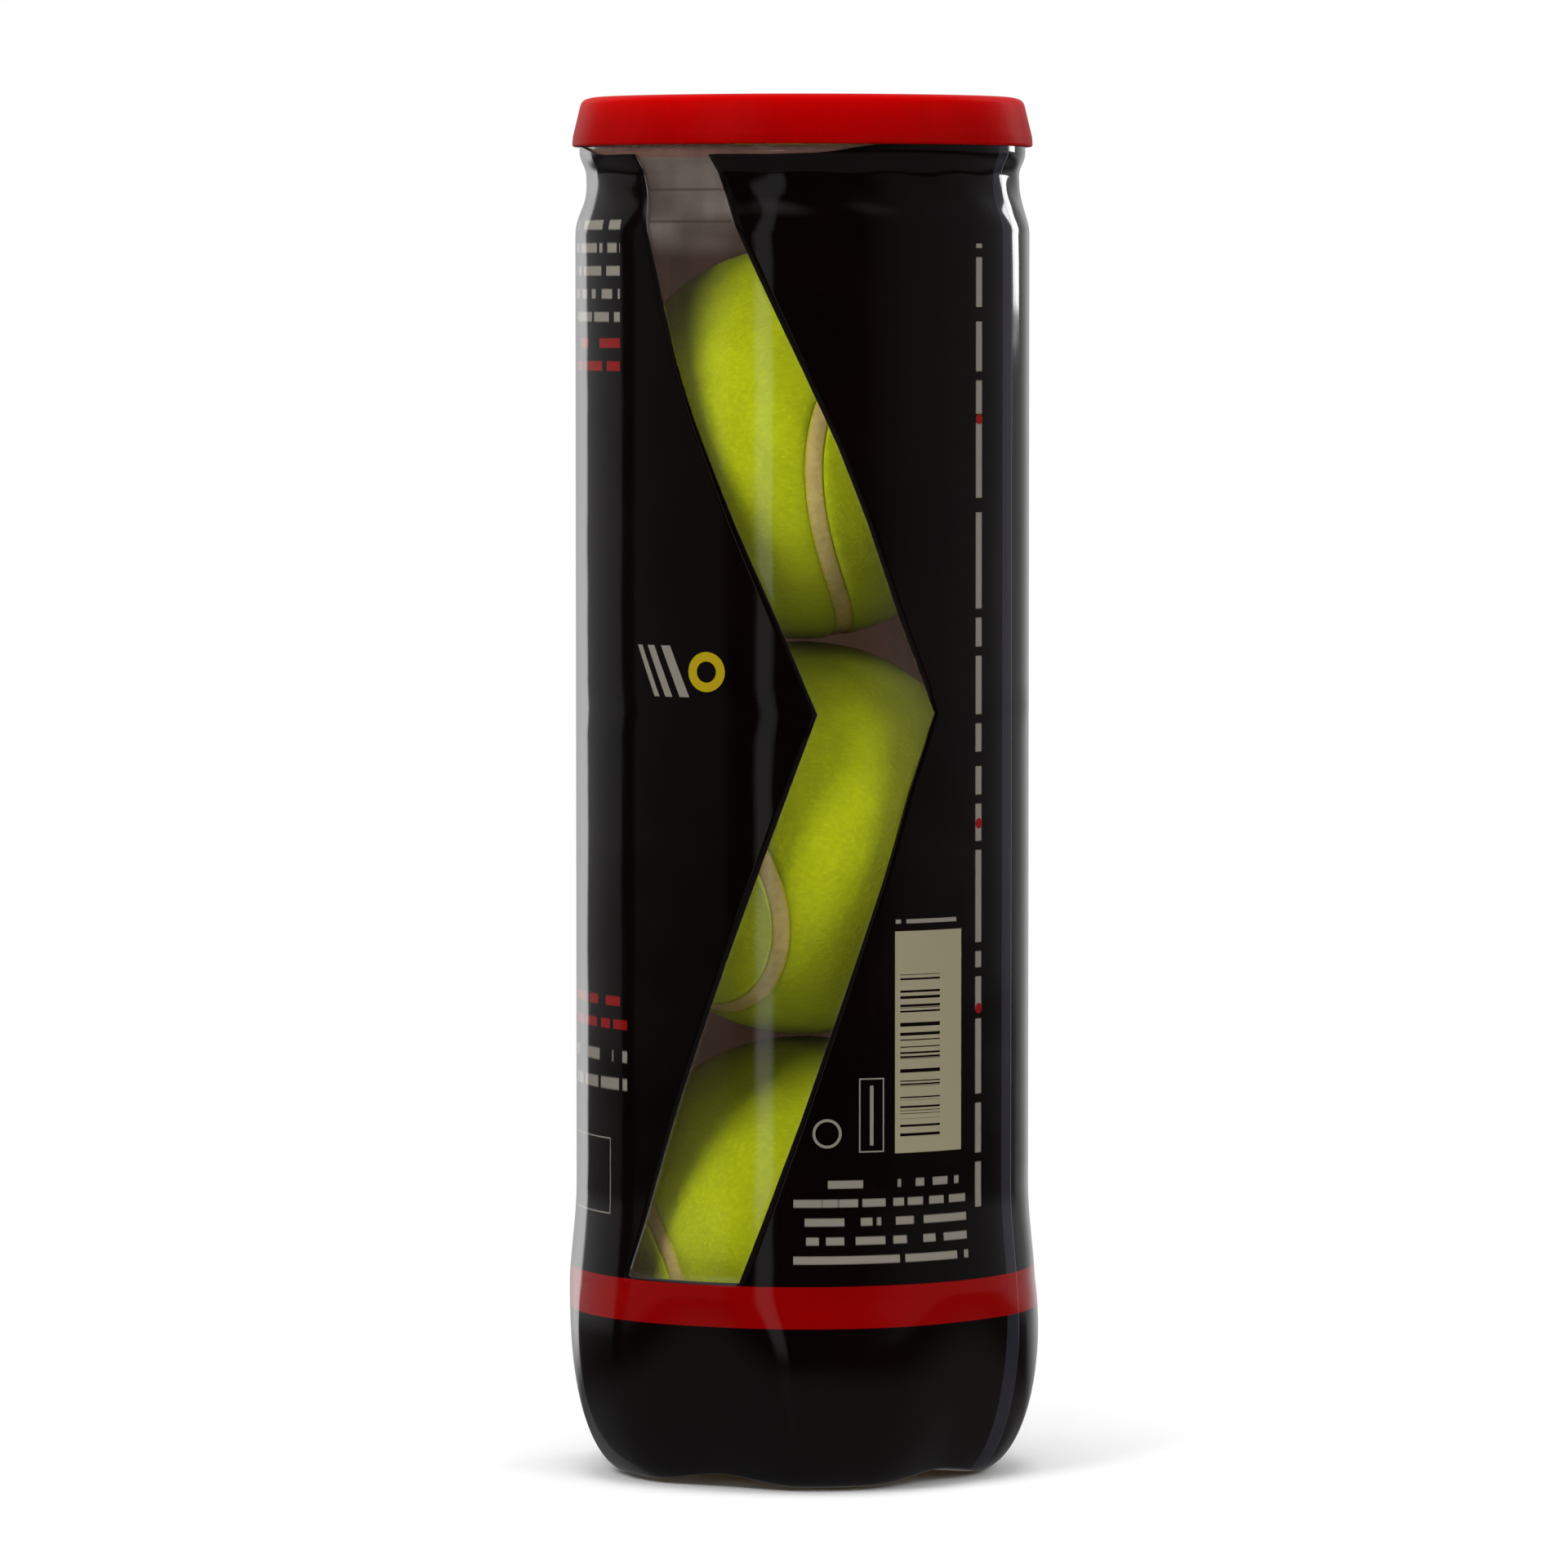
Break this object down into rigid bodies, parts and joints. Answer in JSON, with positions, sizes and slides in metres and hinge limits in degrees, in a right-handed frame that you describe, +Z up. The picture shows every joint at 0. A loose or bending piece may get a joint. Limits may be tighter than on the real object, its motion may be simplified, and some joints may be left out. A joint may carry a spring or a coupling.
{
  "type": "tennis ball can",
  "caption": "Clear plastic can with a five-foot base, printed shrink film, ring-pull metal end and push-on overcap, holding a stack of felt-covered balls.",
  "frame": {"origin": "centre of the base, on the plane of the foot pads", "axes": "+Z up along the can, -Y towards the window in the film, +X to the right seen from the window"},
  "size_m": [0.0772, 0.0772, 0.2238],
  "materials": {
    "clear_pet": "clear, glossy",
    "film_black": "glossy print",
    "film_clear": "clear, glossy",
    "end_metal": "bright rolled",
    "panel_metal": "bright rolled",
    "tab_metal": "bright rolled",
    "compound": "matt",
    "cap_red": "satin",
    "core_rubber": "matt",
    "felt_yellow": "napped felt",
    "seam_rubber": "matt"
  },
  "bodies": {
    "can": {"can_body": "clear_pet", "sleeve_print": "film_black", "sleeve_window": "film_clear", "end_ring": "end_metal", "seam_compound": "compound"},
    "end_panel": {"tear_panel": "panel_metal", "tab_tongue": "tab_metal"},
    "tab": {"pull_tab": "tab_metal"},
    "cap": {"overcap": "cap_red"},
    "ball_bottom": {"ball_bottom_core_lower": "core_rubber", "ball_bottom_core_upper": "core_rubber", "ball_bottom_felt_a": "felt_yellow", "ball_bottom_felt_b": "felt_yellow", "ball_bottom_seam": "seam_rubber"},
    "ball_middle": {"ball_middle_core_lower": "core_rubber", "ball_middle_core_upper": "core_rubber", "ball_middle_felt_a": "felt_yellow", "ball_middle_felt_b": "felt_yellow", "ball_middle_seam": "seam_rubber"},
    "ball_top": {"ball_top_core_lower": "core_rubber", "ball_top_core_upper": "core_rubber", "ball_top_felt_a": "felt_yellow", "ball_top_felt_b": "felt_yellow", "ball_top_seam": "seam_rubber"}
  },
  "joints": [
    {"name": "end_panel_lift", "type": "slide", "parent": "can", "child": "end_panel", "axis": [0, 0, 1], "range_m": [0, 0.27]},
    {"name": "overcap_lift", "type": "slide", "parent": "end_panel", "child": "cap", "axis": [0, 0, 1], "range_m": [0, 0.06]},
    {"name": "tab_lift", "type": "hinge", "parent": "end_panel", "child": "tab", "pos_m": [0, 0.0302, 0.2171], "axis": [-1, 0, 0], "range_deg": [0, 90]},
    {"name": "ball_top_lift", "type": "slide", "parent": "can", "child": "ball_top", "axis": [0, 0, 1], "range_m": [0, 0.25]},
    {"name": "ball_middle_lift", "type": "slide", "parent": "can", "child": "ball_middle", "axis": [0, 0, 1], "range_m": [0, 0.236]},
    {"name": "ball_bottom_lift", "type": "slide", "parent": "can", "child": "ball_bottom", "axis": [0, 0, 1], "range_m": [0, 0.222]}
  ],
  "couplings": [
    {"joint": "tab_lift", "follows": "overcap_lift", "rad_per_m": 26.17},
    {"joint": "ball_top_lift", "follows": "end_panel_lift", "ratio": 0.9259},
    {"joint": "ball_middle_lift", "follows": "end_panel_lift", "ratio": 0.874},
    {"joint": "ball_bottom_lift", "follows": "end_panel_lift", "ratio": 0.8222}
  ]
}
